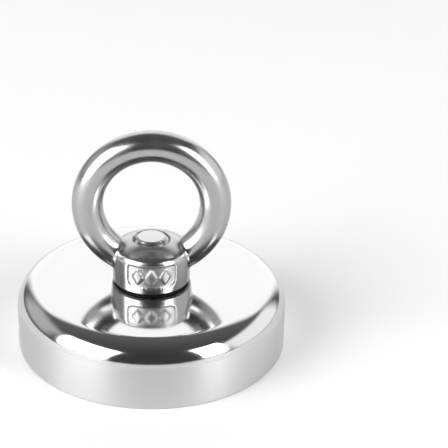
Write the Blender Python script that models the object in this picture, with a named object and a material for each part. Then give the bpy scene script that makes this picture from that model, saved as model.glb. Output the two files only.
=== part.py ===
"""A magnet fishing magnet: a steel pot that holds a ring magnet, with a lifting eye screwed on top.

Units are metres and +Z is up. The origin is the centre of the pot's open face, which rests on z = 0.
A countersunk screw comes up through the pot, and the eye nut is screwed onto its upper end.
All pieces but the eye, its badge and the hex socket are turned about the Z axis.
"""

import math

import bmesh
import bpy
from mathutils import Matrix, Vector

# ---- Driving dimensions -------------------------------------------------------------------------

# Pot
POT_RADIUS = 0.0300
POT_HEIGHT = 0.0150
POT_SHOULDER = 0.0056  # radius of the round shoulder between the top and the wall
POT_WALL = 0.0050
POT_CAVITY_DEPTH = 0.0080
POT_RIM_CHAMFER = 0.0004
BOLT_HOLE_CLEARANCE = 0.00035  # on the radius, between the thread's crest and the holes it passes

# Magnet and what bonds it
MAGNET_RECESS = 0.0003  # how far the magnet's face sits inside the pot's rim
MAGNET_CHAMFER = 0.0003
RIM_RESIN_WIDTH = 0.0012
BORE_RESIN_WIDTH = 0.0005
BUSH_WALL = 0.0015  # at its mouth, outside the screw's head
RESIN_RECESS = 0.0005
GLUE_THICKNESS = 0.0002
BOND_GAP = 0.00005  # between pieces that are bonded or pressed together

# Countersunk screw
SCREW_RECESS = 0.0005  # how far the head's face sits inside the pot's rim
SCREW_STANDOUT = 0.0005  # how far the tip stands out of the eye nut's crown
HEAD_RADIUS = 0.0078
HEAD_LAND = 0.0003
HEAD_SEAT_GAP = 0.0001
SOCKET_ACROSS_FLATS = 0.0050
SOCKET_DEPTH = 0.0032
THREAD_CREST_RADIUS = 0.00395
THREAD_DEPTH = 0.00070
THREAD_PITCH = 0.00125
THREAD_CLEARANCE = 0.00015  # between the screw's thread and the nut's, at right angles to the flank
SCREW_TIP_CHAMFER = 0.0010

# Seat washer
WASHER_RADIUS = 0.0080
WASHER_THICKNESS = 0.0003
SEAT_GAP = 0.00005  # above and below the washer

# Eye nut
COLLAR_RADIUS = 0.0086
COLLAR_HEIGHT = 0.0077  # from the nut's foot to the edge of its crown
COLLAR_EDGE_RADIUS = 0.0009
COLLAR_FOOT_CHAMFER = 0.0003
CROWN_RISE = 0.0020  # the crown falls from the screw to the collar's edge
CROWN_BULGE = 0.0002  # how far it stands, halfway up, over a straight cone
EYE_OUTER_RADIUS = 0.0174
EYE_SECTION_RADIUS = 0.00345
EYE_CENTRE_HEIGHT = 0.0180  # above the nut's foot
EYE_TOP_FLATTENING = 0.99  # the height of the eye's upper half, as a share of a true round
MOUTH_CHAMFER = 0.0005

# Badge: a sunk panel on the front of the collar, with three raised lozenges
BADGE_WIDTH = 0.0105
BADGE_HEIGHT = 0.0052
BADGE_UPPER_CORNER = 0.0005
BADGE_LOWER_CORNER = 0.0015
BADGE_DEPTH = 0.00035
BADGE_FOOT_MARGIN = 0.0016  # from the nut's foot up to the badge
LOZENGE_COUNT = 3
LOZENGE_WIDTH = 0.0022
LOZENGE_HEIGHT = 0.0036
LOZENGE_SPACING = 0.0030

# Roundness of the faceted solids
POT_SEGMENTS = 72
SMALL_SEGMENTS = 48
THREAD_SEGMENTS = 24
EYE_SEGMENTS = 60
SECTION_SEGMENTS = 20
SHOULDER_STEPS = 7
EDGE_STEPS = 3
CORNER_STEPS = 4
FLANK_SLOPE = math.tan(math.radians(30.0))  # a 60 degree thread
CUT_MARGIN = 0.0010  # how far a cutter reaches past what it cuts

# ---- Heights and radii that follow from them ----------------------------------------------------

POT_CAVITY_RADIUS = POT_RADIUS - POT_WALL
BOLT_HOLE_RADIUS = THREAD_CREST_RADIUS + BOLT_HOLE_CLEARANCE
GLUE_TOP = POT_CAVITY_DEPTH - BOND_GAP
GLUE_FOOT = GLUE_TOP - GLUE_THICKNESS
MAGNET_TOP = GLUE_FOOT - BOND_GAP
RIM_RESIN_OUTER = POT_CAVITY_RADIUS - BOND_GAP
RIM_RESIN_INNER = RIM_RESIN_OUTER - RIM_RESIN_WIDTH
MAGNET_RADIUS = RIM_RESIN_INNER - BOND_GAP
BUSH_MOUTH_RADIUS = HEAD_RADIUS + HEAD_SEAT_GAP
BUSH_RADIUS = BUSH_MOUTH_RADIUS + BUSH_WALL
BORE_RESIN_INNER = BUSH_RADIUS + BOND_GAP
BORE_RESIN_OUTER = BORE_RESIN_INNER + BORE_RESIN_WIDTH
MAGNET_BORE_RADIUS = BORE_RESIN_OUTER + BOND_GAP
WASHER_FOOT = POT_HEIGHT + SEAT_GAP
WASHER_TOP = WASHER_FOOT + WASHER_THICKNESS
NUT_FOOT = WASHER_TOP + SEAT_GAP
NUT_CROWN_EDGE = NUT_FOOT + COLLAR_HEIGHT
NUT_CROWN_TOP = NUT_CROWN_EDGE + CROWN_RISE
SCREW_TIP = NUT_CROWN_TOP + SCREW_STANDOUT
EYE_CENTRE = NUT_FOOT + EYE_CENTRE_HEIGHT
EYE_MEAN_RADIUS = EYE_OUTER_RADIUS - EYE_SECTION_RADIUS


# ---- Helpers ------------------------------------------------------------------------------------


def clear_scene():
    for old in list(bpy.data.objects):
        bpy.data.objects.remove(old)


def metal(name, colour, roughness, metallic=1.0):
    """A Principled material with one colour, roughness and metallic value."""
    made = bpy.data.materials.new(name)
    made.use_nodes = True
    shader = made.node_tree.nodes["Principled BSDF"]
    shader.inputs["Base Color"].default_value = (*colour, 1.0)
    shader.inputs["Roughness"].default_value = roughness
    shader.inputs["Metallic"].default_value = metallic
    return made


def place(name, mesh_builder, material):
    """Turns a bmesh into a named object with smooth round faces and sharp edges."""
    mesh = bpy.data.meshes.new(name)
    mesh_builder.to_mesh(mesh)
    mesh_builder.free()
    mesh.shade_smooth()
    mesh.set_sharp_from_angle(angle=math.radians(30.0))
    if material:
        mesh.materials.append(material)
    made = bpy.data.objects.new(name, mesh)
    bpy.context.scene.collection.objects.link(made)
    return made


def as_cutter(made):
    """Keeps a helper shape out of renders and out of the part."""
    made.hide_render = True
    made.display_type = "WIRE"
    return made


def combine(target, other, operation):
    """Adds a live Boolean with the exact solver, and hides the other shape."""
    as_cutter(other)
    change = target.modifiers.new(f"{operation.lower()} {other.name}", "BOOLEAN")
    change.operation = operation
    change.solver = "EXACT"
    change.object = other


def arc(centre_radius, centre_z, radius, start, end, steps):
    """Points (radius, z) along an arc, from the start angle to the end angle in degrees."""
    angles = [math.radians(start + (end - start) * i / steps) for i in range(steps + 1)]
    return [(centre_radius + radius * math.cos(a), centre_z + radius * math.sin(a)) for a in angles]


def turned(name, outline, segments, material=None):
    """Spins a closed outline of (radius, z) points about the Z axis into a solid or a ring."""
    builder = bmesh.new()
    corners = [builder.verts.new((radius, 0.0, z)) for radius, z in outline]
    edges = []
    for first, second in zip(corners, corners[1:] + corners[:1]):
        if first.co.x > 0.0 or second.co.x > 0.0:
            edges.append(builder.edges.new((first, second)))
    bmesh.ops.spin(
        builder,
        geom=corners + edges,
        axis=(0.0, 0.0, 1.0),
        cent=(0.0, 0.0, 0.0),
        angle=2.0 * math.pi,
        steps=segments,
        use_merge=True,
    )
    bmesh.ops.remove_doubles(builder, verts=builder.verts, dist=1e-7)
    bmesh.ops.recalc_face_normals(builder, faces=builder.faces)
    return place(name, builder, material)


def extruded_y(name, outline, near_y, far_y):
    """A prism along Y from an outline of (x, z) points."""
    builder = bmesh.new()
    corners = [builder.verts.new((x, near_y, z)) for x, z in outline]
    face = builder.faces.new(corners)
    grown = bmesh.ops.extrude_face_region(builder, geom=[face])
    moved = [item for item in grown["geom"] if isinstance(item, bmesh.types.BMVert)]
    bmesh.ops.translate(builder, verts=moved, vec=(0.0, far_y - near_y, 0.0))
    bmesh.ops.recalc_face_normals(builder, faces=builder.faces)
    return place(name, builder, None)


def thread_rod(name, crest, depth, crest_flat, low, high):
    """A rod with a right-hand thread from low to high. Its ragged ends are trimmed by what uses it."""
    flank = depth * FLANK_SLOPE
    tooth = (
        (-crest_flat / 2 - flank, crest - depth),
        (-crest_flat / 2, crest),
        (crest_flat / 2, crest),
        (crest_flat / 2 + flank, crest - depth),
    )
    steps = math.ceil((high - low) / THREAD_PITCH) * THREAD_SEGMENTS
    builder = bmesh.new()
    rows = []
    for step in range(steps + 1):
        angle = 2.0 * math.pi * step / THREAD_SEGMENTS
        rise = low + THREAD_PITCH * step / THREAD_SEGMENTS
        turn = Matrix.Rotation(angle, 3, "Z")
        rows.append([builder.verts.new(turn @ Vector((radius, 0.0, rise + z))) for z, radius in tooth])
    for step in range(steps):
        here, after = rows[step], rows[step + 1]
        for first, second in ((0, 1), (1, 2), (2, 3)):
            builder.faces.new((here[first], after[first], after[second], here[second]))
    for step in range(steps - THREAD_SEGMENTS):
        above = step + THREAD_SEGMENTS
        builder.faces.new((rows[step][3], rows[step + 1][3], rows[above + 1][0], rows[above][0]))
    last = steps - THREAD_SEGMENTS
    start = [row[0] for row in rows[: THREAD_SEGMENTS + 1]] + [rows[0][3], rows[0][2], rows[0][1]]
    finish = [row[3] for row in rows[last:]] + [rows[-1][2], rows[-1][1], rows[-1][0]]
    for loop, height in ((start, low), (finish, low + THREAD_PITCH * steps / THREAD_SEGMENTS)):
        hub = builder.verts.new((0.0, 0.0, height))
        for first, second in zip(loop, loop[1:] + loop[:1]):
            builder.faces.new((hub, first, second))
    bmesh.ops.recalc_face_normals(builder, faces=builder.faces)
    return place(name, builder, None)


# ---- Pieces -------------------------------------------------------------------------------------


def make_pot(material):
    """The pressed and turned steel cup: flat top, round shoulder, straight wall and a magnet cavity."""
    shoulder = arc(
        POT_RADIUS - POT_SHOULDER, POT_HEIGHT - POT_SHOULDER, POT_SHOULDER, 0.0, 90.0, SHOULDER_STEPS
    )
    outline = [
        (POT_RADIUS - POT_RIM_CHAMFER, 0.0),
        (POT_RADIUS, POT_RIM_CHAMFER),
        *shoulder,
        (BOLT_HOLE_RADIUS, POT_HEIGHT),
        (BOLT_HOLE_RADIUS, POT_CAVITY_DEPTH),
        (POT_CAVITY_RADIUS, POT_CAVITY_DEPTH),
        (POT_CAVITY_RADIUS, POT_RIM_CHAMFER),
        (POT_CAVITY_RADIUS + POT_RIM_CHAMFER, 0.0),
    ]
    return turned("pot", outline, POT_SEGMENTS, material)


def make_ring(name, inner, outer, foot, top, segments, material, chamfer=0.0):
    """A plain ring, with its four edges chamfered where a chamfer is given."""
    if chamfer:
        outline = [
            (outer - chamfer, foot),
            (outer, foot + chamfer),
            (outer, top - chamfer),
            (outer - chamfer, top),
            (inner + chamfer, top),
            (inner, top - chamfer),
            (inner, foot + chamfer),
            (inner + chamfer, foot),
        ]
    else:
        outline = [(outer, foot), (outer, top), (inner, top), (inner, foot)]
    return turned(name, outline, segments, material)


def make_seat_bush(material):
    """The bush that takes the screw's pull to the pot, so that the brittle magnet doesn't carry it."""
    top = POT_CAVITY_DEPTH - BOND_GAP
    seat_shift = HEAD_SEAT_GAP * math.sqrt(2.0)  # a 45 degree cone moved back by the gap
    mouth_z = SCREW_RECESS + HEAD_LAND + HEAD_RADIUS + seat_shift - BUSH_MOUTH_RADIUS
    throat_z = mouth_z + BUSH_MOUTH_RADIUS - BOLT_HOLE_RADIUS
    outline = [
        (BUSH_RADIUS, MAGNET_RECESS),
        (BUSH_RADIUS, top),
        (BOLT_HOLE_RADIUS, top),
        (BOLT_HOLE_RADIUS, throat_z),
        (BUSH_MOUTH_RADIUS, mouth_z),
        (BUSH_MOUTH_RADIUS, MAGNET_RECESS),
    ]
    return turned("seat_bush", outline, SMALL_SEGMENTS, material)


def make_screw(material):
    """The countersunk screw: head at the pot's open face, thread up through the pot into the eye nut."""
    root = THREAD_CREST_RADIUS - THREAD_DEPTH
    land_top = SCREW_RECESS + HEAD_LAND
    neck_z = land_top + HEAD_RADIUS - root
    head_outline = [
        (0.0, SCREW_RECESS),
        (HEAD_RADIUS, SCREW_RECESS),
        (HEAD_RADIUS, land_top),
        (root, neck_z),
        (root, neck_z + THREAD_PITCH),
        (0.0, neck_z + THREAD_PITCH),
    ]
    screw = turned("countersunk_screw", head_outline, SMALL_SEGMENTS, material)
    thread_foot = neck_z + THREAD_PITCH / 2
    envelope_outline = [
        (0.0, thread_foot),
        (root, thread_foot),
        (THREAD_CREST_RADIUS + CUT_MARGIN, thread_foot + THREAD_CREST_RADIUS + CUT_MARGIN - root),
        (THREAD_CREST_RADIUS + CUT_MARGIN, SCREW_TIP - SCREW_TIP_CHAMFER - CUT_MARGIN),
        (THREAD_CREST_RADIUS - SCREW_TIP_CHAMFER, SCREW_TIP),
        (0.0, SCREW_TIP),
    ]
    envelope = turned("thread_envelope", envelope_outline, SMALL_SEGMENTS)
    rod = thread_rod(
        "screw_thread",
        THREAD_CREST_RADIUS,
        THREAD_DEPTH,
        THREAD_PITCH / 8,
        thread_foot - 2 * THREAD_PITCH,
        SCREW_TIP + 2 * THREAD_PITCH,
    )
    combine(rod, envelope, "INTERSECT")
    combine(screw, rod, "UNION")
    socket_radius = SOCKET_ACROSS_FLATS / math.sqrt(3.0)
    socket_outline = [
        (0.0, SCREW_RECESS - CUT_MARGIN),
        (socket_radius, SCREW_RECESS - CUT_MARGIN),
        (socket_radius, SCREW_RECESS + SOCKET_DEPTH),
        (0.0, SCREW_RECESS + SOCKET_DEPTH),
    ]
    combine(screw, turned("hex_key_cutter", socket_outline, 6), "DIFFERENCE")
    return screw


def make_badge_cutter():
    """A panel as deep as the badge that follows the collar's round side, less three lozenges."""
    foot = NUT_FOOT + BADGE_FOOT_MARGIN
    centre_z = foot + BADGE_HEIGHT / 2
    corners = (
        (1, 1, BADGE_UPPER_CORNER, 0.0),
        (-1, 1, BADGE_UPPER_CORNER, 90.0),
        (-1, -1, BADGE_LOWER_CORNER, 180.0),
        (1, -1, BADGE_LOWER_CORNER, 270.0),
    )
    outline = []
    for side, rise, radius, start in corners:
        x = side * (BADGE_WIDTH / 2 - radius)
        z = centre_z + rise * (BADGE_HEIGHT / 2 - radius)
        outline += arc(x, z, radius, start, start + 90.0, CORNER_STEPS)
    near, far = -COLLAR_RADIUS - CUT_MARGIN, 0.0
    panel = extruded_y("badge_panel", outline, near, far)
    floor_radius = COLLAR_RADIUS - BADGE_DEPTH
    margin = CUT_MARGIN / 2
    shell_outline = [
        (COLLAR_RADIUS + CUT_MARGIN, foot - margin),
        (COLLAR_RADIUS + CUT_MARGIN, foot + BADGE_HEIGHT + margin),
        (floor_radius, foot + BADGE_HEIGHT + margin),
        (floor_radius, foot - margin),
    ]
    combine(panel, turned("badge_shell", shell_outline, SMALL_SEGMENTS), "INTERSECT")
    for index in range(LOZENGE_COUNT):
        middle = (index - (LOZENGE_COUNT - 1) / 2) * LOZENGE_SPACING
        lozenge = [
            (middle + LOZENGE_WIDTH / 2, centre_z),
            (middle, centre_z + LOZENGE_HEIGHT / 2),
            (middle - LOZENGE_WIDTH / 2, centre_z),
            (middle, centre_z - LOZENGE_HEIGHT / 2),
        ]
        shape = extruded_y(f"lozenge_{index + 1}", lozenge, near - CUT_MARGIN, far + CUT_MARGIN)
        combine(panel, shape, "DIFFERENCE")
    return panel


def make_eye(material):
    """The eye, standing in the XZ plane: round, but with its upper half a little flattened."""
    builder = bmesh.new()
    section = [
        builder.verts.new(
            (EYE_MEAN_RADIUS + EYE_SECTION_RADIUS * math.cos(a), EYE_SECTION_RADIUS * math.sin(a), 0.0)
        )
        for a in (2.0 * math.pi * i / SECTION_SEGMENTS for i in range(SECTION_SEGMENTS))
    ]
    edges = [builder.edges.new(pair) for pair in zip(section, section[1:] + section[:1])]
    bmesh.ops.spin(
        builder,
        geom=section + edges,
        axis=(0.0, 1.0, 0.0),
        cent=(0.0, 0.0, 0.0),
        angle=2.0 * math.pi,
        steps=EYE_SEGMENTS,
        use_merge=True,
    )
    upper = [vertex for vertex in builder.verts if vertex.co.z > 0.0]
    bmesh.ops.scale(builder, verts=upper, vec=(1.0, 1.0, EYE_TOP_FLATTENING))
    bmesh.ops.translate(builder, verts=builder.verts, vec=(0.0, 0.0, EYE_CENTRE))
    bmesh.ops.recalc_face_normals(builder, faces=builder.faces)
    return place("eye_nut", builder, material)


def make_eye_nut(material):
    """The cast lifting eye and its threaded collar, in one piece."""
    nut = make_eye(material)
    halfway = (COLLAR_RADIUS - THREAD_CREST_RADIUS) / 2
    middle_rise = CROWN_RISE / 2 + CROWN_BULGE
    edge_turn = math.degrees(math.atan2(halfway, middle_rise))  # from upright to the crown's slope
    edge_z = NUT_CROWN_EDGE - COLLAR_EDGE_RADIUS * math.tan(math.radians(edge_turn / 2))
    edge = arc(COLLAR_RADIUS - COLLAR_EDGE_RADIUS, edge_z, COLLAR_EDGE_RADIUS, 0.0, edge_turn, EDGE_STEPS)
    collar_outline = [
        (0.0, NUT_FOOT),
        (COLLAR_RADIUS - COLLAR_FOOT_CHAMFER, NUT_FOOT),
        (COLLAR_RADIUS, NUT_FOOT + COLLAR_FOOT_CHAMFER),
        *edge,
        (THREAD_CREST_RADIUS + halfway, NUT_CROWN_EDGE + middle_rise),
        (THREAD_CREST_RADIUS, NUT_CROWN_TOP),
        (0.0, NUT_CROWN_TOP),
    ]
    combine(nut, turned("collar", collar_outline, SMALL_SEGMENTS), "UNION")
    tap = thread_rod(
        "nut_thread_cutter",
        THREAD_CREST_RADIUS + THREAD_CLEARANCE,
        THREAD_DEPTH,
        THREAD_PITCH / 8 + 2 * THREAD_CLEARANCE * FLANK_SLOPE,
        thread_start_below(NUT_FOOT),
        NUT_CROWN_TOP + 2 * THREAD_PITCH,
    )
    combine(nut, tap, "DIFFERENCE")
    minor = THREAD_CREST_RADIUS - THREAD_DEPTH
    mouth = THREAD_CREST_RADIUS + MOUTH_CHAMFER
    slope = mouth + CUT_MARGIN - minor
    mouths_outline = [
        (0.0, NUT_FOOT - CUT_MARGIN),
        (mouth + CUT_MARGIN, NUT_FOOT - CUT_MARGIN),
        (minor, NUT_FOOT - CUT_MARGIN + slope),
        (minor, NUT_CROWN_TOP + CUT_MARGIN - slope),
        (mouth + CUT_MARGIN, NUT_CROWN_TOP + CUT_MARGIN),
        (0.0, NUT_CROWN_TOP + CUT_MARGIN),
    ]
    combine(nut, turned("bore_mouth_cutter", mouths_outline, SMALL_SEGMENTS), "DIFFERENCE")
    combine(nut, make_badge_cutter(), "DIFFERENCE")
    return nut


def thread_start_below(height):
    """A height under the given one where the nut's thread starts in step with the screw's."""
    root = THREAD_CREST_RADIUS - THREAD_DEPTH
    screw_start = SCREW_RECESS + HEAD_LAND + HEAD_RADIUS - root + THREAD_PITCH / 2 - 2 * THREAD_PITCH
    turns = math.floor((height - 2 * THREAD_PITCH - screw_start) / THREAD_PITCH)
    return screw_start + turns * THREAD_PITCH


def main():
    clear_scene()
    nickel = metal("nickel_plate", (0.86, 0.86, 0.86), 0.08)
    stainless = metal("cast_stainless", (0.62, 0.62, 0.62), 0.18)
    screw_steel = metal("screw_stainless", (0.72, 0.72, 0.72), 0.2)
    magnet_plate = metal("magnet_nickel", (0.74, 0.73, 0.71), 0.25)
    brass = metal("brass", (0.72, 0.55, 0.25), 0.3)
    resin = metal("potting_resin", (0.03, 0.03, 0.03), 0.35, 0.0)
    fibre = metal("washer_fibre", (0.05, 0.05, 0.05), 0.6, 0.0)

    make_pot(nickel)
    magnet_faces = (MAGNET_BORE_RADIUS, MAGNET_RADIUS, MAGNET_RECESS, MAGNET_TOP)
    make_ring("ring_magnet", *magnet_faces, POT_SEGMENTS, magnet_plate, MAGNET_CHAMFER)
    make_ring("rim_resin", RIM_RESIN_INNER, RIM_RESIN_OUTER, RESIN_RECESS, GLUE_TOP, POT_SEGMENTS, resin)
    make_ring("glue_layer", MAGNET_BORE_RADIUS, MAGNET_RADIUS, GLUE_FOOT, GLUE_TOP, POT_SEGMENTS, resin)
    make_ring("bore_resin", BORE_RESIN_INNER, BORE_RESIN_OUTER, RESIN_RECESS, GLUE_TOP, POT_SEGMENTS, resin)
    make_seat_bush(brass)
    make_screw(screw_steel)
    make_ring("seat_washer", BOLT_HOLE_RADIUS, WASHER_RADIUS, WASHER_FOOT, WASHER_TOP, SMALL_SEGMENTS, fibre)
    make_eye_nut(stainless)


main()
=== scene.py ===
# %% [markdown]
# # A magnet fishing magnet
#
# A magnet fishing magnet is a steel pot with a strong ring magnet set in its open face. It is let
# down on a rope, pot first, and pulls iron and steel things out of the water. The rope is tied to
# a cast eye, which is screwed onto the end of a screw that comes up through the pot.
#
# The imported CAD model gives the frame: where each piece is, and how it moves. This lesson puts a
# finished piece over each CAD node, at the same size and place, and lights it in a small studio.

# %% Load the frame
import math

import bpy
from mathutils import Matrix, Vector


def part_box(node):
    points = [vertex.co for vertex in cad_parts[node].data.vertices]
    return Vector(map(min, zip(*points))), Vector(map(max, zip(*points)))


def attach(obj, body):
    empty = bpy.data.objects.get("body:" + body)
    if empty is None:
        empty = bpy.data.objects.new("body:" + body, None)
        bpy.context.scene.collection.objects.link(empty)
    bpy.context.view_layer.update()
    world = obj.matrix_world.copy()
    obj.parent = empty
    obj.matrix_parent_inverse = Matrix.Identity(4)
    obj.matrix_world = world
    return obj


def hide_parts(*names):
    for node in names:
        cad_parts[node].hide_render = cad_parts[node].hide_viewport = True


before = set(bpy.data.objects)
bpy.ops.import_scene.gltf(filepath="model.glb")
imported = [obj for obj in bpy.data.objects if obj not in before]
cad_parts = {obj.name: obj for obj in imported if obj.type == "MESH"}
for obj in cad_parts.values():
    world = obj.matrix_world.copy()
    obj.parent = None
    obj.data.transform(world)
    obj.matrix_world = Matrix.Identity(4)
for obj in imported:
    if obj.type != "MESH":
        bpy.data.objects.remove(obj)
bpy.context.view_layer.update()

print("nodes:", ", ".join(sorted(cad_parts)))

# %% [markdown]
# ## Sizes
#
# Everything is in metres. The sizes that the pieces share with the CAD model are read from its
# nodes, so they can't disagree. The rest are sizes that a maker would put on a drawing, such as a
# thread's pitch or the radius of an edge, and they are written here in millimetres.

# %% Sizes from the frame
MM = 0.001

POT_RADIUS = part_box("pot")[1].x
POT_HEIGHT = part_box("pot")[1].z
MAGNET_FOOT, MAGNET_TOP = (corner.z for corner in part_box("ring_magnet"))
MAGNET_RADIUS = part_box("ring_magnet")[1].x
RESIN_FOOT, RESIN_TOP = (corner.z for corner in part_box("rim_resin"))
RIM_RESIN_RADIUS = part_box("rim_resin")[1].x
BORE_RESIN_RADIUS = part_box("bore_resin")[1].x
BUSH_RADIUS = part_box("seat_bush")[1].x
BUSH_FOOT, BUSH_TOP = (corner.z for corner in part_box("seat_bush"))
SCREW_FOOT, SCREW_TIP = (corner.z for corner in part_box("countersunk_screw"))
HEAD_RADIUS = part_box("countersunk_screw")[1].x
WASHER_FOOT, WASHER_TOP = (corner.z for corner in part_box("seat_washer"))
WASHER_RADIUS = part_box("seat_washer")[1].x
NUT_FOOT, EYE_TOP = (corner.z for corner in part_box("eye_nut"))
EYE_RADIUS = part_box("eye_nut")[1].x
COLLAR_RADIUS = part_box("eye_nut")[1].y
print(f"pot {2 * POT_RADIUS / MM:.1f} mm across and {POT_HEIGHT / MM:.1f} mm high")
print(f"eye {2 * EYE_RADIUS / MM:.1f} mm across, collar {2 * COLLAR_RADIUS / MM:.1f} mm")

# %% Sizes from a maker's drawing
BOND_GAP = 0.05 * MM
SHOULDER_RADIUS = 5.6 * MM
POT_WALL = 5.0 * MM
CAVITY_DEPTH = 8.0 * MM
THREAD_RADIUS = 3.95 * MM
THREAD_DEPTH = 0.70 * MM
THREAD_PITCH = 1.25 * MM
HOLE_RADIUS = THREAD_RADIUS + 0.35 * MM
THREAD_CLEARANCE = 0.15 * MM
EYE_SECTION = 3.45 * MM
EYE_FLATTENING = 0.99
COLLAR_HEIGHT = 7.7 * MM
CROWN_RISE = 2.0 * MM
CROWN_BULGE = 0.2 * MM
BADGE_HALF_WIDTH = 5.25 * MM
BADGE_FOOT = NUT_FOOT + 1.6 * MM
BADGE_TOP = BADGE_FOOT + 5.2 * MM
BADGE_MIDDLE = (BADGE_FOOT + BADGE_TOP) / 2
BADGE_DEPTH = 0.35 * MM
BADGE_FADE = 0.3 * MM
WALL_TOP = POT_HEIGHT - SHOULDER_RADIUS
POLISH_EDGE = WALL_TOP + 2.2 * MM
TURN_STEPS = 256
COLLAR_STEPS = 192
THREAD_STEPS = 96
# Points nearer to each other than this count as one.
SAME_PLACE = 0.001 * MM
print(f"thread {2 * THREAD_RADIUS / MM:.1f} mm over its crests, pitch {THREAD_PITCH / MM:.2f} mm")

# %% [markdown]
# ## The camera
#
# A long lens from some way off keeps the pot's circles round and its sides upright. The camera
# looks a little down onto the pot, with the eye facing it, and the lens is shifted rather than
# turned, so that moving the magnet across the frame doesn't change its perspective.

# %% Camera
CAMERA_DISTANCE = 0.3376
CAMERA_ELEVATION = math.radians(28.3)
AIM_HEIGHT = 0.020
bpy.ops.object.camera_add(
    location=(
        0.0,
        -CAMERA_DISTANCE * math.cos(CAMERA_ELEVATION),
        AIM_HEIGHT + CAMERA_DISTANCE * math.sin(CAMERA_ELEVATION),
    ),
    rotation=(math.pi / 2 - CAMERA_ELEVATION, 0.0, 0.0),
)
camera = bpy.context.object
camera.name = "product_camera"
camera.data.lens = 122.4
camera.data.shift_x = 0.162
camera.data.shift_y = 0.077
camera.data.dof.use_dof = False
camera.data.clip_start = 0.01
bpy.context.scene.camera = camera
print(f"camera {CAMERA_DISTANCE / MM:.0f} mm away with a {camera.data.lens:.0f} mm lens")

# %% [markdown]
# ## The studio
#
# Polished metal has almost no colour of its own: it shows what stands around it. So the studio
# matters as much as the metal. It is a dim room with a white table, two soft boxes in front that
# stand on the table, a card on each side and a bright white wall behind. The dim ceiling gives
# the metal its dark bands, and the boxes give it its clean white shapes.

# %% Colours
def linear(code):
    """Turns an sRGB hex colour, such as "#C8C7C4", into the linear colour that Blender uses."""
    shares = [int(code[i : i + 2], 16) / 255 for i in (1, 3, 5)]
    return tuple(s / 12.92 if s <= 0.04045 else ((s + 0.055) / 1.055) ** 2.4 for s in shares) + (1.0,)


print("mid grey #808080 is", [round(share, 3) for share in linear("#808080")])


# %% A node with its settings and links
def add_node(owner, kind, values=None, links=None, **settings):
    """Adds a node to a material, light or world, with its values, its settings and its links.

    The values and the links are given by the names of the node's inputs, or by their numbers.
    """
    node = owner.node_tree.nodes.new(kind)
    for name, value in settings.items():
        setattr(node, name, value)
    for name, value in (values or {}).items():
        node.inputs[name].default_value = value
    for name, output in (links or {}).items():
        owner.node_tree.links.new(output, node.inputs[name])
    return node


# %% Sums that the finishes and the lights share
def remap(owner, value, low, high, to_low=0.0, to_high=1.0, **settings):
    """Turns a value between low and high into one between to_low and to_high."""
    limits = {"From Min": low, "From Max": high, "To Min": to_low, "To Max": to_high}
    return add_node(owner, "ShaderNodeMapRange", limits, {"Value": value}, **settings).outputs["Result"]


def multiply(owner, first, second):
    """The product of two outputs."""
    return add_node(owner, "ShaderNodeMath", links={0: first, 1: second}, operation="MULTIPLY").outputs[0]


def distances(owner, place, middle):
    """How far a place is from the middle along each axis: three outputs, X, Y and Z."""
    centred = add_node(owner, "ShaderNodeVectorMath", {1: middle}, {0: place}, operation="SUBTRACT")
    folded = add_node(owner, "ShaderNodeVectorMath", links={0: centred.outputs[0]}, operation="ABSOLUTE")
    return add_node(owner, "ShaderNodeSeparateXYZ", links={0: folded.outputs[0]}).outputs


# %% Soft lights
def soft_box(name, azimuth, elevation, wide, high, radiance, fade=0.1, distance=0.9):
    """Hangs a rectangular light round the pot and turns it to face the pot.

    Azimuth 0 is behind the pot, as the camera sees it, and 90 is to the right. The sizes are in
    degrees, as the pot sees them, and the fade is the share of them that grows dim at each edge.
    """
    a, e = math.radians(azimuth), math.radians(elevation)
    away = Vector((math.sin(a) * math.cos(e), math.cos(a) * math.cos(e), math.sin(e)))
    bpy.ops.object.light_add(type="AREA", location=away * distance + Vector((0, 0, AIM_HEIGHT)))
    light = bpy.context.object
    light.name = name
    light.rotation_euler = away.to_track_quat("Z", "Y").to_euler()
    light.data.shape = "RECTANGLE"
    light.data.size = 2 * distance * math.tan(math.radians(wide / 2))
    light.data.size_y = 2 * distance * math.tan(math.radians(high / 2))
    light.data.energy = radiance * light.data.size * light.data.size_y * math.pi
    light.visible_camera = False
    fade_edges(light.data, fade)
    print(f"{name}: {light.data.size:.2f} x {light.data.size_y:.2f} m")
    return light


def fade_edges(light, fade):
    """Dims a light towards its edges, as the cloth of a soft box does."""
    light.use_nodes = True
    cloth = add_node(light, "ShaderNodeNewGeometry").outputs["Parametric"]
    from_middle = distances(light, cloth, (0.5, 0.5, 0.5))
    ramps = [
        remap(light, from_middle[axis], 0.5, 0.5 - fade, interpolation_type="SMOOTHSTEP")
        for axis in ("X", "Y")
    ]
    brightness = multiply(light, *ramps)
    light.node_tree.links.new(brightness, light.node_tree.nodes["Emission"].inputs["Strength"])


soft_box("left_soft_box", azimuth=-122, elevation=25, wide=50, high=50, radiance=6.6, fade=0.12)
soft_box("right_soft_box", azimuth=128, elevation=25, wide=25, high=48, radiance=8.0, fade=0.15)
soft_box("right_card", azimuth=82, elevation=19, wide=76, high=48, radiance=1.2, fade=0.22)
soft_box("left_card", azimuth=-66, elevation=22, wide=60, high=46, radiance=0.5, fade=0.3)
soft_box("white_wall", azimuth=3, elevation=18, wide=78, high=80, radiance=1.38, fade=0.2)

# %% Room
CAMERA_SIDE = 0.06
WALL_SIDE = 0.16
room = bpy.data.worlds.new("dim_room")
room.use_nodes = True
room.node_tree.nodes.clear()
in_view = add_node(room, "ShaderNodeLightPath")
direction = add_node(room, "ShaderNodeTexCoord")
along = add_node(room, "ShaderNodeSeparateXYZ", links={0: direction.outputs["Generated"]})
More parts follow.
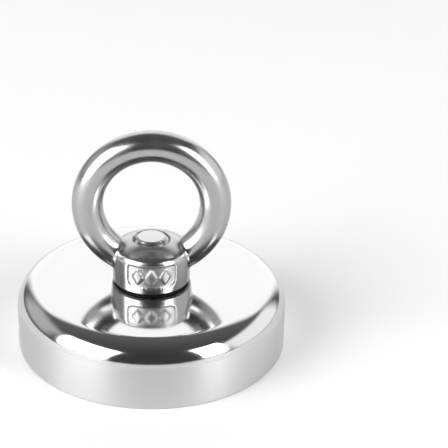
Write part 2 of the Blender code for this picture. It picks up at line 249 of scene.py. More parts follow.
# Along Y, -1 is straight behind the camera and 1 is straight ahead of it.
brightness = remap(room, along.outputs["Y"], -0.7, 0.5, CAMERA_SIDE, WALL_SIDE)
dim = add_node(room, "ShaderNodeBackground", links={"Color": brightness})
pale = add_node(room, "ShaderNodeBackground", {"Color": (1.0, 1.0, 1.0, 1.0)})
mixed = add_node(room, "ShaderNodeMixShader", links={0: in_view.outputs["Is Camera Ray"]})
room.node_tree.links.new(dim.outputs[0], mixed.inputs[1])
room.node_tree.links.new(pale.outputs[0], mixed.inputs[2])
add_node(room, "ShaderNodeOutputWorld", links={"Surface": mixed.outputs[0]})
bpy.context.scene.world = room
bpy.context.scene.view_settings.view_transform = "Standard"
print("the room is dim, darkest behind the camera, and pale only where the camera sees past the table")

# %% Table
# The table is round and ends where the lights no longer reach it, so that from low down its far
# side shows as a thin line behind the magnet, and not as a wide dark strip.
TABLE_RADIUS = 1.1
TABLE_DROP = 0.05 * MM
bpy.ops.object.select_all(action="DESELECT")
bpy.ops.mesh.primitive_circle_add(
    vertices=96, radius=TABLE_RADIUS, fill_type="NGON", location=(0.0, 0.0, -TABLE_DROP)
)
table = bpy.context.object
table.name = "white_table"
paper = bpy.data.materials.new("white_table_paper")
paper.use_nodes = True
paper.node_tree.nodes["Principled BSDF"].inputs["Base Color"].default_value = linear("#F2F2F2")
paper.node_tree.nodes["Principled BSDF"].inputs["Roughness"].default_value = 0.7
table.data.materials.append(paper)
print(f"table {2 * TABLE_RADIUS:.1f} m across")

# %% [markdown]
# ## Drawing and turning
#
# Most of the pieces are round about the screw, and are made on a lathe or pressed in a round die.
# In Blender the same thing is done with half of the piece's section: draw its outline by extruding
# one point from corner to corner, round the corners that a tool would leave round, and spin it.


# %% Draw an outline
def draw_outline(name, corners, closed=True):
    """Draws corners (x, z) in the XZ plane by hand: one point, extruded to each next corner."""
    bpy.ops.object.select_all(action="DESELECT")
    bpy.ops.mesh.primitive_plane_add(size=MM)
    shape = bpy.context.object
    shape.name = name
    bpy.ops.object.mode_set(mode="EDIT")
    bpy.context.tool_settings.mesh_select_mode = (True, False, False)
    bpy.ops.mesh.select_all(action="SELECT")
    bpy.ops.mesh.merge(type="CENTER")
    here = Vector((corners[0][0], 0.0, corners[0][1]))
    bpy.ops.transform.translate(value=here)
    for x, z in corners[1:]:
        there = Vector((x, 0.0, z))
        bpy.ops.mesh.extrude_region_move(TRANSFORM_OT_translate={"value": there - here})
        here = there
    if closed:
        bpy.ops.mesh.select_all(action="SELECT")
        bpy.ops.mesh.edge_face_add()
    bpy.ops.object.mode_set(mode="OBJECT")
    return shape


# %% Round an outline's corners
def round_corners(shape, corners, radius, segments=8):
    """Rounds the drawn corners at these places (x, z)."""
    places = [Vector((x, 0.0, z)) for x, z in corners]
    for corner in shape.data.vertices:
        corner.select = any((corner.co - place).length < SAME_PLACE for place in places)
    for edge in shape.data.edges:
        edge.select = False
    for face in shape.data.polygons:
        face.select = False
    bpy.ops.object.mode_set(mode="EDIT")
    bpy.ops.mesh.bevel(offset=radius, segments=segments, affect="VERTICES")
    bpy.ops.object.mode_set(mode="OBJECT")
    return shape


# %% Turn an outline
def turn(shape, steps=TURN_STEPS):
    """Spins a closed outline round the Z axis into a solid."""
    bpy.ops.object.mode_set(mode="EDIT")
    bpy.ops.mesh.select_all(action="SELECT")
    bpy.ops.mesh.delete(type="ONLY_FACE")
    bpy.ops.mesh.select_all(action="DESELECT")
    bpy.ops.object.mode_set(mode="OBJECT")
    on_axis = [vertex.co.x < SAME_PLACE for vertex in shape.data.vertices]
    for edge in shape.data.edges:
        edge.select = on_axis[edge.vertices[0]] and on_axis[edge.vertices[1]]
    axis_edge = any(edge.select for edge in shape.data.edges)
    bpy.ops.object.mode_set(mode="EDIT")
    if axis_edge:
        bpy.context.tool_settings.mesh_select_mode = (False, True, False)
        bpy.ops.mesh.delete(type="EDGE")
        bpy.context.tool_settings.mesh_select_mode = (True, False, False)
    bpy.ops.mesh.select_all(action="SELECT")
    bpy.ops.mesh.spin(steps=steps, angle=2 * math.pi, center=(0, 0, 0), axis=(0, 0, 1))
    bpy.ops.mesh.select_all(action="SELECT")
    bpy.ops.mesh.remove_doubles(threshold=SAME_PLACE / 2)
    bpy.ops.mesh.normals_make_consistent(inside=False)
    bpy.ops.object.mode_set(mode="OBJECT")
    return shape


# %% Cut, join and keep
def combine(shape, other, operation):
    """Joins another solid to this one, cuts it away, or keeps only what they share."""
    change = shape.modifiers.new(operation.lower(), "BOOLEAN")
    change.operation = operation
    change.object = other
    bpy.ops.object.select_all(action="DESELECT")
    bpy.context.view_layer.objects.active = shape
    shape.select_set(True)
    bpy.ops.object.modifier_apply(modifier=change.name)
    bpy.data.objects.remove(other)
    return shape


# %% Smooth faces with crisp edges
def smooth(shape, angle=30.0):
    """Shades a shape smooth, and keeps the edges crisp that bend by more than this angle."""
    bpy.ops.object.select_all(action="DESELECT")
    bpy.context.view_layer.objects.active = shape
    shape.select_set(True)
    bpy.ops.object.shade_smooth_by_angle(angle=math.radians(angle))
    return shape


# %% Hand a piece over
def finish_piece(shape, material, body, nodes):
    """Gives a piece its material, hangs it on the body that it rides on, and hides the nodes that it
    stands for.
    """
    shape.data.materials.clear()
    shape.data.materials.append(material)
    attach(shape, body)
    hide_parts(*nodes)
    shape.data.calc_loop_triangles()
    print(f"{shape.name}: {len(shape.data.loop_triangles)} triangles")
    return shape


# %% [markdown]
# ## Finishes
#
# Each finish starts from what the real one is and how its surface was made. Metals differ by how
# much light they return, by how finely they were polished, and by the marks that the tool left.


# %% Start a finish
def start_finish(name, **values):
    """A new material whose Principled shader has these values, given with _ for each space.

    It comes with its shader, and with the place on the object that its patterns follow.
    """
    finish = bpy.data.materials.new(name)
    finish.use_nodes = True
    shader = finish.node_tree.nodes["Principled BSDF"]
    for key, value in values.items():
        shader.inputs[key.replace("_", " ")].default_value = value
    place = add_node(finish, "ShaderNodeTexCoord").outputs["Object"]
    return finish, shader, place


# %% Let patterns drive the shader
def drive(finish, shader, **outputs):
    """Joins these outputs to the shader's inputs, given with _ for each space."""
    for key, output in outputs.items():
        finish.node_tree.links.new(output, shader.inputs[key.replace("_", " ")])


# %% Patterns
def per_mm(size):
    """The scale that makes a texture's features this many millimetres wide."""
    return 1.0 / (size * MM)


def add_grain(finish, place, size, detail):
    """Random grain with features of this size, in millimetres."""
    values = {"Scale": per_mm(size), "Detail": detail}
    return add_node(finish, "ShaderNodeTexNoise", values, {"Vector": place}).outputs["Fac"]


def add_rings(finish, place, spacing, distortion, detail):
    """Rings round the Z axis, this many millimetres apart, as a facing tool leaves them."""
    return add_node(
        finish,
        "ShaderNodeTexWave",
        {"Scale": math.pi / 10 * per_mm(spacing), "Distortion": distortion, "Detail": detail},
        {"Vector": place},
        wave_type="RINGS",
        rings_direction="Z",
    ).outputs["Fac"]


def add_relief(finish, pattern, depth, strength=1.0):
    """Lets a pattern stand out of the surface by this many millimetres."""
    values = {"Strength": strength, "Distance": depth * MM}
    return add_node(finish, "ShaderNodeBump", values, {"Height": pattern}).outputs["Normal"]


# %% [markdown]
# ### Bright nickel plate
#
# The pot is plated in a bright nickel bath, which copies the polished steel under it. Its top and
# shoulder are a mirror with a very slight orange peel, so a reflection keeps its shape but its
# edges look a little grainy.

# %% Bright nickel plate
NICKEL = linear("#CCCCCC")
POLISHED_ROUGHNESS = (0.07, 0.12)
GRAIN_SPREAD = (0.35, 0.65)
bright_nickel, shader, place = start_finish("bright_nickel_plate", Base_Color=NICKEL, Metallic=1.0)
haze = add_grain(bright_nickel, place, size=9.0, detail=3.0)
polish = remap(bright_nickel, haze, *GRAIN_SPREAD, *POLISHED_ROUGHNESS)
peel = add_grain(bright_nickel, place, size=0.7, detail=2.0)
drive(bright_nickel, shader, Roughness=polish, Normal=add_relief(bright_nickel, peel, depth=0.0012))
print("bright nickel: a mirror with a faint orange peel")

# %% [markdown]
# ### Turned nickel plate
#
# The wall was finished on the lathe and not polished. Its fine lines run round the pot, and they
# spread each reflection up and down the wall, which is why the wall shows soft upright bands. The
# polishing wheel runs off the shoulder without a step, so the satin fades out over 2.2 mm.

# %% Turned nickel plate
SATIN_ROUGHNESS = (0.32, 0.40)
SATIN_SPREAD = 0.8
turned_nickel, shader, place = start_finish(
    "turned_nickel_plate", Base_Color=NICKEL, Metallic=1.0, Anisotropic_Rotation=0.25
)
# The lathe's lines are about 0.05 mm apart, too fine to show, so they are drawn 0.3 mm apart.
squeezed = add_node(
    turned_nickel,
    "ShaderNodeMapping",
    {"Scale": (per_mm(30.0), per_mm(30.0), per_mm(0.3))},
    {"Vector": place},
).outputs[0]
lines = add_node(
    turned_nickel, "ShaderNodeTexNoise", {"Scale": 1.0, "Detail": 3.0}, {"Vector": squeezed}
).outputs["Fac"]
dullness = remap(turned_nickel, lines, 0.3, 0.7, *SATIN_ROUGHNESS)
height = add_node(turned_nickel, "ShaderNodeSeparateXYZ", links={0: place}).outputs["Z"]
unpolished = remap(turned_nickel, height, POLISH_EDGE, WALL_TOP, interpolation_type="SMOOTHSTEP")
satin = add_node(
    turned_nickel,
    "ShaderNodeMapRange",
    {"To Min": sum(POLISHED_ROUGHNESS) / 2},
    {"Value": unpolished, "To Max": dullness},
).outputs["Result"]
drive(
    turned_nickel,
    shader,
    Tangent=add_node(turned_nickel, "ShaderNodeTangent", direction_type="RADIAL", axis="Z").outputs[0],
    Roughness=satin,
    Anisotropic=remap(turned_nickel, unpolished, 0.0, 1.0, 0.0, SATIN_SPREAD),
    Normal=add_relief(turned_nickel, lines, depth=0.0008),
)
print("turned nickel: satin, with its lines round the pot")

# %% [markdown]
# ### Tumbled stainless casting
#
# The eye nut is cast in stainless steel and polished in a tumbler. That leaves a softer mirror
# than plate, with low waves from the casting still in it.

# %% Tumbled stainless casting
STAINLESS = linear("#ADADAD")
TUMBLED_ROUGHNESS = (0.20, 0.27)
tumbled_steel, shader, place = start_finish(
    "tumbled_stainless_casting", Base_Color=STAINLESS, Metallic=1.0
)
haze = add_grain(tumbled_steel, place, size=4.0, detail=3.0)
polish = remap(tumbled_steel, haze, *GRAIN_SPREAD, *TUMBLED_ROUGHNESS)
waves = add_grain(tumbled_steel, place, size=2.5, detail=1.0)
drive(tumbled_steel, shader, Roughness=polish, Normal=add_relief(tumbled_steel, waves, depth=0.004))
print("tumbled stainless: a soft mirror with low waves")

# %% [markdown]
# ### Raw casting
#
# The tumbler's stones can't work into the sunk badge, so the badge keeps the grain of the casting
# mould. They do reach its edges, so the grain fades out over the last 0.3 mm.

# %% Raw casting
RAW_ROUGHNESS = 0.42
raw_steel, shader, place = start_finish("raw_stainless_casting", Base_Color=STAINLESS, Metallic=1.0)
from_middle = distances(raw_steel, place, (0.0, 0.0, BADGE_MIDDLE))
inside = [
    remap(raw_steel, from_middle[axis], half, half - BADGE_FADE)
    for axis, half in (("X", BADGE_HALF_WIDTH), ("Z", (BADGE_TOP - BADGE_FOOT) / 2))
]
untouched = multiply(raw_steel, *inside)
grain = add_grain(raw_steel, place, size=0.3, detail=3.0)
mould_marks = add_node(
    raw_steel, "ShaderNodeBump", {"Distance": 0.03 * MM}, {"Height": grain, "Strength": untouched}
).outputs["Normal"]
drive(
    raw_steel,
    shader,
    Roughness=remap(raw_steel, untouched, 0.0, 1.0, sum(TUMBLED_ROUGHNESS) / 2, RAW_ROUGHNESS),
    Normal=mould_marks,
)
print("raw casting: dull and grainy")

# %% [markdown]
# ### Screw, washer and the pieces in the pot
#
# The screw is stainless bar, cold headed and rolled, with a faced end. The washer is black
# vulcanised fibre. Under the pot are the nickel-plated magnet, the black resin that holds it and
# the brass bush that the screw pulls on.

# %% Faced stainless bar
screw_steel, shader, place = start_finish(
    "faced_stainless_bar", Base_Color=linear("#C0C0C0"), Metallic=1.0, Roughness=0.24
)
# A facing tool leaves rings about 0.1 mm apart. They are drawn 0.25 mm apart so that they show.
rings = add_rings(screw_steel, place, spacing=0.25, distortion=0.6, detail=1.0)
drive(screw_steel, shader, Normal=add_relief(screw_steel, rings, depth=0.0015))
print("screw steel: satin, with rings on its faced ends")

# %% Vulcanised fibre
black_fibre, shader, place = start_finish(
    "black_vulcanised_fibre", Base_Color=linear("#1A1918"), Roughness=0.6, Specular_IOR_Level=0.35
)
fibres = add_grain(black_fibre, place, size=0.25, detail=4.0)
drive(black_fibre, shader, Normal=add_relief(black_fibre, fibres, depth=0.02, strength=0.6))
print("fibre: black and matt")

# %% Magnet plate
magnet_nickel, shader, place = start_finish(
    "barrel_plated_nickel", Base_Color=linear("#C4BFB6"), Metallic=1.0, Roughness=0.28
)
sintered = add_grain(magnet_nickel, place, size=0.6, detail=4.0)
drive(magnet_nickel, shader, Normal=add_relief(magnet_nickel, sintered, depth=0.006))
print("magnet plate: a greyer nickel with the sintered grain under it")

# %% Potting resin
potting_resin, shader, place = start_finish(
    "black_potting_resin", Base_Color=linear("#121212"), Roughness=0.22
)
slump = add_grain(potting_resin, place, size=3.0, detail=2.0)
drive(potting_resin, shader, Normal=add_relief(potting_resin, slump, depth=0.05))
print("resin: black and glossy, a little uneven where it was poured")

# %% Turned brass
turned_brass, shader, place = start_finish(
    "turned_brass", Base_Color=linear("#C9A458"), Metallic=1.0, Roughness=0.26
)
rings = add_rings(turned_brass, place, spacing=0.3, distortion=0.4, detail=2.0)
drive(turned_brass, shader, Normal=add_relief(turned_brass, rings, depth=0.0015))
print("brass: turned, with fine rings")

# %% [markdown]
# ## The pot
#
# The pot is pressed from thick steel and turned. Its shoulder is a round of 5.6 mm, and that round
# matters most: it shows the whole room, squeezed into one band. Its section is drawn from the
# rim's edge, up the wall, over the shoulder to the screw's hole, and back through the cavity.

# %% Pot section
RIM_ROUND = 0.4 * MM
HOLE_ROUND = 0.3 * MM
pot_corners = [
    (POT_RADIUS, 0.0),
    (POT_RADIUS, POT_HEIGHT),
    (HOLE_RADIUS, POT_HEIGHT),
    (HOLE_RADIUS, CAVITY_DEPTH),
    (POT_RADIUS - POT_WALL, CAVITY_DEPTH),
    (POT_RADIUS - POT_WALL, 0.0),
]
pot_shell = draw_outline("pot_shell", pot_corners)
round_corners(pot_shell, [pot_corners[1]], SHOULDER_RADIUS, segments=24)
round_corners(pot_shell, [pot_corners[0], pot_corners[5]], RIM_ROUND, segments=4)
round_corners(pot_shell, [pot_corners[2]], HOLE_ROUND, segments=3)
turn(pot_shell)
smooth(pot_shell)
finish_piece(pot_shell, bright_nickel, "pot_body", ["pot"])


# %% Dress chosen faces
def dress(shape, material, chosen):
    """Gives a second material to the faces that chosen(centre) picks."""
    shape.data.materials.append(material)
    slot = len(shape.data.materials) - 1
    count = 0
    for face in shape.data.polygons:
        if chosen(face.center):
            face.material_index = slot
            count += 1
    print(f"{shape.name}: {count} faces in {material.name}")


# %% Turned wall
def on_wall(centre):
    """Whether a face is on the wall that the lathe left, or where its satin fades out."""
    outside = centre.xy.length > POT_RADIUS - 2 * RIM_ROUND
    return outside and centre.z < POLISH_EDGE


dress(pot_shell, turned_nickel, on_wall)

# %% [markdown]
# ## What the pot holds
#
# The ring magnet sits on a film of glue at the back of the cavity, with black resin poured round
# its rim and its bore. In its bore a brass bush carries the screw's head, because a magnet is too
# brittle to be pulled on. Each one is a ring, so each one is a rectangle spun round the axis.


# %% A ring
def make_ring(name, inner, outer, foot, top, edge, segments=2):
    """A ring with rounded edges, turned from a rectangle."""
    corners = [(outer, foot), (outer, top), (inner, top), (inner, foot)]
    ring = draw_outline(name, corners)
    round_corners(ring, corners, edge, segments)
    turn(ring)
    return smooth(ring)


# %% Magnet and resin
BORE_RESIN_INNER = BUSH_RADIUS + BOND_GAP
MAGNET_BORE = BORE_RESIN_RADIUS + BOND_GAP
MAGNET_EDGE = 0.4 * MM
RIM_RESIN_EDGE = 0.1 * MM
BORE_RESIN_EDGE = 0.08 * MM
ring_magnet = make_ring("magnet_ring", MAGNET_BORE, MAGNET_RADIUS, MAGNET_FOOT, MAGNET_TOP, MAGNET_EDGE, 4)
finish_piece(ring_magnet, magnet_nickel, "pot_body", ["ring_magnet"])
RIM_RESIN_INNER = MAGNET_RADIUS + BOND_GAP
rim = make_ring("rim_potting", RIM_RESIN_INNER, RIM_RESIN_RADIUS, RESIN_FOOT, RESIN_TOP, RIM_RESIN_EDGE)
finish_piece(rim, potting_resin, "pot_body", ["rim_resin"])
bore = make_ring(
    "bore_potting", BORE_RESIN_INNER, BORE_RESIN_RADIUS, RESIN_FOOT, RESIN_TOP, BORE_RESIN_EDGE
)
finish_piece(bore, potting_resin, "pot_body", ["bore_resin"])
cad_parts["glue_layer"].material_slots[0].material = potting_resin

# %% Seat bush
HEAD_LAND = 0.3 * MM
SEAT_GAP = 0.1 * MM
BUSH_EDGE = 0.15 * MM
seat_radius = HEAD_RADIUS + SEAT_GAP
seat_height = SCREW_FOOT + HEAD_LAND + HEAD_RADIUS + SEAT_GAP * math.sqrt(2) - seat_radius
bush_corners = [
    (BUSH_RADIUS, BUSH_FOOT),
    (BUSH_RADIUS, BUSH_TOP),
    (HOLE_RADIUS, BUSH_TOP),
    (HOLE_RADIUS, seat_height + seat_radius - HOLE_RADIUS),
    (seat_radius, seat_height),
    (seat_radius, BUSH_FOOT),
]
bush = draw_outline("brass_bush", bush_corners)
round_corners(bush, [bush_corners[0], bush_corners[5]], BUSH_EDGE, segments=3)
turn(bush)
smooth(bush)
finish_piece(bush, turned_brass, "pot_body", ["seat_bush"])

# %% [markdown]
# ## The thread
#
# The eye unscrews, and then the screw's thread shows, so it is a real one: a 60 degree tooth with
# a 1.25 mm pitch. One tooth is drawn, and the Screw modifier winds it up the axis, each turn's
# foot meeting the end of the turn below. Both ends are closed to a point, because only a closed
# shape can be cut or used to cut, and they are trimmed off later.

# %% Tooth
FLANK_SLOPE = math.tan(math.radians(30))
print(f"tooth: {THREAD_DEPTH / MM:.2f} mm deep, each flank {THREAD_DEPTH * FLANK_SLOPE / MM:.2f} mm wide")


# %% Wind a thread
def wind_thread(name, radius, crest, low, turns):
    """A right-hand threaded rod with its first tooth's middle at this height, over the X axis."""
    root = radius - THREAD_DEPTH
    foot = crest / 2 + THREAD_DEPTH * FLANK_SLOPE
    tooth = [
        (root, low - foot),
        (radius, low - crest / 2),
        (radius, low + crest / 2),
        (root, low + foot),
        (root, low + THREAD_PITCH - foot),
    ]
    rod = draw_outline(name, tooth, closed=False)
    winding = rod.modifiers.new("winding", "SCREW")
    winding.screw_offset = THREAD_PITCH
    winding.iterations = turns
    winding.steps = winding.render_steps = THREAD_STEPS
    bpy.ops.object.modifier_apply(modifier=winding.name)
    bpy.ops.object.mode_set(mode="EDIT")
    bpy.ops.mesh.select_all(action="SELECT")
    bpy.ops.mesh.remove_doubles(threshold=SAME_PLACE)
    bpy.ops.object.mode_set(mode="OBJECT")
    close_ends(rod, low + turns * THREAD_PITCH / 2)
    return rod


# %% Close a rod's ends
def close_ends(rod, middle):
    """Draws the open edges below and above the middle together, each to its own centre."""
    for upper in (False, True):
        bpy.ops.object.mode_set(mode="EDIT")
        bpy.ops.mesh.select_all(action="DESELECT")
        bpy.ops.mesh.select_non_manifold()
        bpy.ops.object.mode_set(mode="OBJECT")
        for vertex in rod.data.vertices:
            vertex.select = vertex.select and (vertex.co.z > middle) == upper
        for edge in rod.data.edges:
            first, second = (rod.data.vertices[i] for i in edge.vertices)
            edge.select = edge.select and first.select and second.select
        bpy.ops.object.mode_set(mode="EDIT")
        bpy.ops.mesh.extrude_region_move()
        bpy.ops.mesh.merge(type="CENTER")
    bpy.ops.mesh.select_all(action="SELECT")
    bpy.ops.mesh.normals_make_consistent(inside=False)
    bpy.ops.object.mode_set(mode="OBJECT")


# %% [markdown]
# ## The screw
#
# The screw's countersunk head is under the pot and its end stands just out of the eye nut's
# crown. The threaded part is what the wound rod and a plain turned bar have in common, which gives
# the thread a tidy start and the tip its chamfer. Then the head is joined on, and the hex key's
# socket is cut into it.

# %% Screw
THREAD_ROOT = THREAD_RADIUS - THREAD_DEPTH
SCREW_CREST = THREAD_PITCH / 8
TIP_CHAMFER = 1.0 * MM
NECK = SCREW_FOOT + HEAD_LAND + HEAD_RADIUS - THREAD_ROOT
THREAD_START = NECK + THREAD_PITCH / 2
SCREW_TURNS = math.ceil((SCREW_TIP - THREAD_START) / THREAD_PITCH) + 4
TIP_ROUND = 0.15 * MM
# A cutter reaches this far past the piece that it cuts.
OUTSIDE = 1.0 * MM

bar_corners = [
    (0.0, THREAD_START),
    (THREAD_ROOT, THREAD_START),
    (THREAD_RADIUS + OUTSIDE, THREAD_START + THREAD_DEPTH + OUTSIDE),
    (THREAD_RADIUS + OUTSIDE, SCREW_TIP - TIP_CHAMFER - OUTSIDE),
    (THREAD_RADIUS - TIP_CHAMFER, SCREW_TIP),
    (0.0, SCREW_TIP),
]
bar = draw_outline("bar", bar_corners)
round_corners(bar, [bar_corners[4]], TIP_ROUND, segments=3)
turn(bar, THREAD_STEPS)
screw = wind_thread("screw", THREAD_RADIUS, SCREW_CREST, THREAD_START - 2 * THREAD_PITCH, SCREW_TURNS)
combine(screw, bar, "INTERSECT")
print(f"screw: {SCREW_TURNS} turns wound")

# %% Head and socket
SOCKET_FLATS = 5.0 * MM
SOCKET_DEPTH = 3.2 * MM
NECK_INSET = 0.05 * MM
HEAD_ROUND = 0.12 * MM
head_corners = [
    (0.0, SCREW_FOOT),
    (HEAD_RADIUS, SCREW_FOOT),
    (HEAD_RADIUS, SCREW_FOOT + HEAD_LAND),
    (THREAD_ROOT - NECK_INSET, NECK + NECK_INSET),
    (THREAD_ROOT - NECK_INSET, THREAD_START + THREAD_PITCH),
    (0.0, THREAD_START + THREAD_PITCH),
]
head = draw_outline("head", head_corners)
round_corners(head, [head_corners[1]], HEAD_ROUND, segments=3)
turn(head)
combine(screw, head, "UNION")
bpy.ops.object.select_all(action="DESELECT")
bpy.ops.mesh.primitive_cylinder_add(
    vertices=6,
    radius=SOCKET_FLATS / math.sqrt(3),
    depth=2 * SOCKET_DEPTH,
    location=(0.0, 0.0, SCREW_FOOT),
)
combine(screw, bpy.context.object, "DIFFERENCE")
screw.name = "screw_m8"
smooth(screw)
finish_piece(screw, screw_steel, "screw_body", ["countersunk_screw"])

# %% [markdown]
# ## The washer
#
# A thin black washer seals the screw's hole. All that shows of it is a dark line under the collar,
# which sets the bright collar off from the bright pot.

# %% Washer
WASHER_EDGE = 0.12 * MM
washer = make_ring("seal_washer", HOLE_RADIUS, WASHER_RADIUS, WASHER_FOOT, WASHER_TOP, WASHER_EDGE)
finish_piece(washer, black_fibre, "washer_body", ["seat_washer"])

# %% [markdown]
# ## The eye nut
#
# The eye and its collar are one casting. A torus and a turned collar are joined, the badge is sunk
# into the collar, and the whole is given a new skin of small even faces. Smoothing passes then
# round it as the wax pattern of a real casting is rounded: a little round the badge, and more
# where the eye grows out of the collar. The foot and the thread are cut after that, because a
# machine cuts them into the finished casting.

# %% Eye
EYE_MEAN = EYE_RADIUS - EYE_SECTION
EYE_CENTRE = EYE_TOP - EYE_RADIUS * EYE_FLATTENING
bpy.ops.object.select_all(action="DESELECT")
bpy.ops.mesh.primitive_torus_add(
    location=(0.0, 0.0, EYE_CENTRE),
    rotation=(math.pi / 2, 0.0, 0.0),
    major_segments=192,
    minor_segments=64,
    major_radius=EYE_MEAN,
    minor_radius=EYE_SECTION,
)
bpy.ops.object.transform_apply()
eye = bpy.context.object
eye.name = "lifting_eye"
print(f"eye: opening {2 * (EYE_MEAN - EYE_SECTION) / MM:.1f} mm across")

# %% Flatten the top of the eye
for vertex in eye.data.vertices:
    vertex.select = vertex.co.z > EYE_CENTRE + SAME_PLACE
for edge in eye.data.edges:
    edge.select = all(eye.data.vertices[i].select for i in edge.vertices)
for face in eye.data.polygons:
    face.select = all(eye.data.vertices[i].select for i in face.vertices)
bpy.ops.object.mode_set(mode="EDIT")
bpy.ops.transform.resize(value=(1.0, 1.0, EYE_FLATTENING), center_override=(0.0, 0.0, EYE_CENTRE))
bpy.ops.object.mode_set(mode="OBJECT")
print(f"eye: its upper half is {100 * (1 - EYE_FLATTENING):.1f}% flatter than round")

# %% Collar
CROWN_EDGE = NUT_FOOT + COLLAR_HEIGHT
CROWN_TOP = CROWN_EDGE + CROWN_RISE
COLLAR_ROUND = 0.9 * MM
CROWN_ROUND = 1.4 * MM
FOOT_SPARE = 1.5 * MM
halfway = (COLLAR_RADIUS + THREAD_RADIUS) / 2
collar_corners = [
    (0.0, NUT_FOOT - FOOT_SPARE),
    (COLLAR_RADIUS, NUT_FOOT - FOOT_SPARE),
    (COLLAR_RADIUS, CROWN_EDGE),
    (halfway, CROWN_EDGE + CROWN_RISE / 2 + CROWN_BULGE),
    (THREAD_RADIUS, CROWN_TOP),
    (0.0, CROWN_TOP),
]
collar = draw_outline("collar", collar_corners)
round_corners(collar, [collar_corners[3]], CROWN_ROUND, segments=6)
round_corners(collar, [collar_corners[2]], COLLAR_ROUND, segments=6)
turn(collar, COLLAR_STEPS)
combine(eye, collar, "UNION")

# %% [markdown]
# ### The badge
#
# A sunk panel on the front of the collar carries three raised lozenges. The panel follows the
# collar's round side, so its cutter is the part of a ring that lies inside a flat panel's outline.

# %% Badge sizes
PANEL_FOOT_ROUND = 1.5 * MM
PANEL_TOP_ROUND = 0.5 * MM
LOZENGE_CENTRES = (-3.0 * MM, 0.0, 3.0 * MM)
LOZENGE_HALF_WIDTH = 1.15 * MM
LOZENGE_HALF_HEIGHT = 1.85 * MM
LOZENGE_ROUND = 0.2 * MM
print(f"each lozenge is {2 * LOZENGE_HALF_WIDTH / MM:.1f} mm wide")


# %% Bars and shells for the badge
def pull_forward(shape):
    """Makes an outline into a bar from the collar's middle to well in front of it."""
    bpy.ops.object.mode_set(mode="EDIT")
    bpy.ops.mesh.select_all(action="SELECT")
    reach = Vector((0.0, -COLLAR_RADIUS - 2 * OUTSIDE, 0.0))
    bpy.ops.mesh.extrude_region_move(TRANSFORM_OT_translate={"value": reach})
    bpy.ops.mesh.select_all(action="SELECT")
    bpy.ops.mesh.normals_make_consistent(inside=False)
    bpy.ops.object.mode_set(mode="OBJECT")
    return shape


def shell(inner, outer):
    """A ring as tall as the badge, and a little more, between two radii."""
    low, high = BADGE_FOOT - OUTSIDE / 2, BADGE_TOP + OUTSIDE / 2
    corners = [(inner, low), (outer, low), (outer, high), (inner, high)]
    return turn(draw_outline("shell", corners), COLLAR_STEPS)


# %% Sink the badge
panel_corners = [
    (BADGE_HALF_WIDTH, BADGE_FOOT),
    (BADGE_HALF_WIDTH, BADGE_TOP),
    (-BADGE_HALF_WIDTH, BADGE_TOP),
    (-BADGE_HALF_WIDTH, BADGE_FOOT),
]
panel = draw_outline("panel", panel_corners)
round_corners(panel, [panel_corners[0], panel_corners[3]], PANEL_FOOT_ROUND, segments=8)
round_corners(panel, [panel_corners[1], panel_corners[2]], PANEL_TOP_ROUND, segments=4)
pull_forward(panel)
combine(panel, shell(COLLAR_RADIUS - BADGE_DEPTH, COLLAR_RADIUS + OUTSIDE), "INTERSECT")
for x in LOZENGE_CENTRES:
    lozenge_corners = [
        (x + LOZENGE_HALF_WIDTH, BADGE_MIDDLE),
        (x, BADGE_MIDDLE + LOZENGE_HALF_HEIGHT),
        (x - LOZENGE_HALF_WIDTH, BADGE_MIDDLE),
        (x, BADGE_MIDDLE - LOZENGE_HALF_HEIGHT),
    ]
    lozenge = draw_outline("lozenge", lozenge_corners)
    round_corners(lozenge, lozenge_corners, LOZENGE_ROUND, segments=3)
    pull_forward(lozenge)
    combine(panel, lozenge, "DIFFERENCE")
combine(eye, panel, "DIFFERENCE")
print(f"badge: {2 * BADGE_HALF_WIDTH / MM:.1f} mm wide, with {len(LOZENGE_CENTRES)} lozenges")

# %% Cast skin
SKIN_FACE = 0.185 * MM
cast_skin = eye.modifiers.new("cast_skin", "REMESH")
cast_skin.mode = "VOXEL"
cast_skin.voxel_size = SKIN_FACE
bpy.ops.object.modifier_apply(modifier=cast_skin.name)
print(f"skin: {len(eye.data.polygons)} faces")


# %% Smoothing
PASSES_ALL_OVER = 4
PASSES_AWAY_FROM_BADGE = 26
PASSES_AT_SADDLE = 200
SADDLE_OFFSET = 7.0 * MM
SADDLE_REACH = 5.5 * MM


def soften(shape, passes, group=""):
    """Relaxes a shape's skin by this many passes, all over or only in a group of its vertices."""
    change = shape.modifiers.new("soften", "SMOOTH")
    change.factor = 0.5
    change.iterations = passes
    change.vertex_group = group
    bpy.ops.object.select_all(action="DESELECT")
    bpy.context.view_layer.objects.active = shape
    bpy.ops.object.modifier_apply(modifier=change.name)


def near_badge(place):
    """Whether a place is on the badge or so near it that smoothing would blur its edge."""
    margin = 0.6 * MM
    beside = abs(place.x) < BADGE_HALF_WIDTH + margin and place.y < -THREAD_RADIUS
    return beside and BADGE_FOOT - margin < place.z < BADGE_TOP + margin / 2


def near_saddle(place):
    """How near a place is to where the eye grows out of the crown: 1 is right there."""
    saddle = Vector((math.copysign(SADDLE_OFFSET, place.x), 0.0, CROWN_TOP))
    return max(0.0, 1.0 - ((place - saddle).length / SADDLE_REACH) ** 2)


away_from_badge = eye.vertex_groups.new(name="away_from_badge")
away_from_badge.add([v.index for v in eye.data.vertices if not near_badge(v.co)], 1.0, "REPLACE")
soften(eye, PASSES_ALL_OVER)
soften(eye, PASSES_AWAY_FROM_BADGE, away_from_badge.name)
saddle_group = eye.vertex_groups.new(name="saddle")
for vertex in eye.data.vertices:
    nearness = near_saddle(vertex.co)
    if nearness > 0.0:
        saddle_group.add([vertex.index], nearness, "REPLACE")
soften(eye, PASSES_AT_SADDLE, saddle_group.name)
eye.vertex_groups.clear()
print("casting softened")

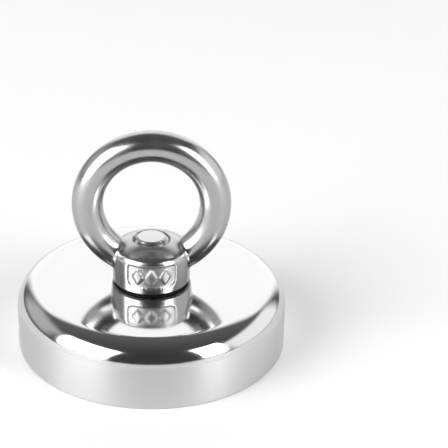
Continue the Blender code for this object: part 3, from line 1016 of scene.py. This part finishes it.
# %% Foot
FOOT_CHAMFER = 0.3 * MM
foot_corners = [
    (0.0, NUT_FOOT - 2 * FOOT_SPARE),
    (COLLAR_RADIUS + OUTSIDE, NUT_FOOT - 2 * FOOT_SPARE),
    (COLLAR_RADIUS + OUTSIDE, NUT_FOOT + FOOT_CHAMFER + OUTSIDE),
    (COLLAR_RADIUS - FOOT_CHAMFER, NUT_FOOT),
    (0.0, NUT_FOOT),
]
# With 256 steps the cutter has edges on the skin's own 45 degree lines, and the cut leaves slivers.
FOOT_STEPS = 250
combine(eye, turn(draw_outline("foot_cutter", foot_corners), FOOT_STEPS), "DIFFERENCE")
print(f"foot: faced off at {NUT_FOOT / MM:.2f} mm, over the washer")

# %% Nut thread
NUT_CREST = SCREW_CREST + 2 * THREAD_CLEARANCE * FLANK_SLOPE
skipped = math.floor((NUT_FOOT - THREAD_START) / THREAD_PITCH)
tap_low = THREAD_START + (skipped - 2) * THREAD_PITCH
tap_turns = math.ceil((CROWN_TOP - tap_low) / THREAD_PITCH) + 2
tap = wind_thread("tap", THREAD_RADIUS + THREAD_CLEARANCE, NUT_CREST, tap_low, tap_turns)
combine(eye, tap, "DIFFERENCE")
MOUTH_CHAMFER = 0.5 * MM
flare = THREAD_RADIUS + MOUTH_CHAMFER + OUTSIDE
rise = flare - THREAD_ROOT
mouth_corners = [
    (0.0, NUT_FOOT - OUTSIDE),
    (flare, NUT_FOOT - OUTSIDE),
    (THREAD_ROOT, NUT_FOOT - OUTSIDE + rise),
    (THREAD_ROOT, CROWN_TOP + OUTSIDE - rise),
    (flare, CROWN_TOP + OUTSIDE),
    (0.0, CROWN_TOP + OUTSIDE),
]
combine(eye, turn(draw_outline("mouth_cutter", mouth_corners), THREAD_STEPS), "DIFFERENCE")
print(f"nut thread: {tap_turns} turns")

# %% Finish the eye nut
smooth(eye)
finish_piece(eye, tumbled_steel, "eye_body", ["eye_nut"])


def in_badge(centre):
    """Whether a face is in the sunk badge on the collar's front."""
    in_front = abs(centre.x) < BADGE_HALF_WIDTH and centre.y < -THREAD_RADIUS - OUTSIDE
    return in_front and BADGE_FOOT < centre.z < BADGE_TOP


dress(eye, raw_steel, in_badge)
